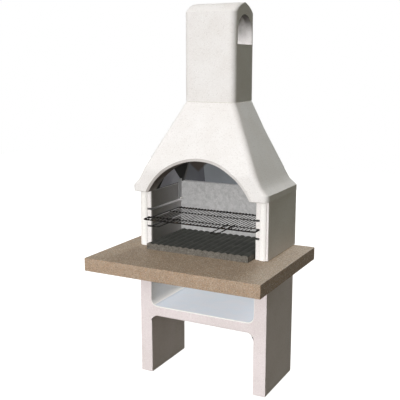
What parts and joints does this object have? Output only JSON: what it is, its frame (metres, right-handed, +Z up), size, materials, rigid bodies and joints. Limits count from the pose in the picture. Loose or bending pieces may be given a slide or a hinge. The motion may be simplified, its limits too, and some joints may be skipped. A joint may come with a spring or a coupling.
{
  "type": "outdoor masonry barbecue",
  "caption": "Free-standing masonry barbecue: H-shaped base with shelf, stone worktop, arched hood, chimney with side windows, and a wire grill that slides in wall grooves.",
  "frame": {"origin": "on the ground, under the middle of the worktop", "axes": "+Z up, +Y towards the closed back, +X to the right seen from the front"},
  "size_m": [1, 0.774, 2.0585],
  "materials": {
    "white_concrete": "matte painted concrete",
    "base_concrete": "matte painted concrete",
    "worktop_stone": "matte, fine speckle",
    "mortar": "rough",
    "refractory": "rough cast",
    "hearth_stone": "rough, sooty",
    "liner_sheet": "dull blued sheet",
    "grill_rod": "dark satin",
    "grill_wire": "dark satin"
  },
  "bodies": {
    "masonry": {"base_casting": "base_concrete", "leg_mortar_left": "mortar", "leg_mortar_right": "mortar", "worktop": "worktop_stone", "wall_mortar_left": "mortar", "wall_mortar_right": "mortar", "wall_mortar_back": "mortar", "left_side_wall": "white_concrete", "right_side_wall": "white_concrete", "back_wall": "white_concrete", "back_lining_slab": "refractory", "hearth_plate": "hearth_stone", "hood_mortar_left": "mortar", "hood_mortar_right": "mortar", "hood_mortar_back": "mortar", "hood": "white_concrete", "chimney_mortar": "mortar", "chimney": "white_concrete", "liner_left": "liner_sheet", "liner_right": "liner_sheet", "liner_back_left": "liner_sheet", "liner_back_middle": "liner_sheet", "liner_back_right": "liner_sheet"},
    "grill": {"grill_frame": "grill_rod", "grill_cross_bar_front": "grill_rod", "grill_cross_bar_rear": "grill_rod", "grill_handle_left": "grill_rod", "grill_handle_right": "grill_rod", "grill_wire_01": "grill_wire", "grill_wire_02": "grill_wire", "grill_wire_03": "grill_wire", "grill_wire_04": "grill_wire", "grill_wire_05": "grill_wire", "grill_wire_06": "grill_wire", "grill_wire_07": "grill_wire", "grill_wire_08": "grill_wire", "grill_wire_09": "grill_wire", "grill_wire_10": "grill_wire", "grill_wire_11": "grill_wire", "grill_wire_12": "grill_wire", "grill_wire_13": "grill_wire", "grill_wire_14": "grill_wire", "grill_wire_15": "grill_wire", "grill_wire_16": "grill_wire", "grill_wire_17": "grill_wire", "grill_wire_18": "grill_wire", "grill_wire_19": "grill_wire", "grill_wire_20": "grill_wire", "grill_wire_21": "grill_wire", "grill_wire_22": "grill_wire", "grill_wire_23": "grill_wire", "grill_wire_24": "grill_wire", "grill_wire_25": "grill_wire", "grill_wire_26": "grill_wire", "grill_wire_27": "grill_wire", "grill_wire_28": "grill_wire", "grill_wire_29": "grill_wire", "grill_wire_30": "grill_wire", "grill_wire_31": "grill_wire"}
  },
  "joints": [
    {"name": "grill_slide", "type": "slide", "parent": "masonry", "child": "grill", "axis": [0, -1, 0], "range_m": [0, 0.25]}
  ]
}
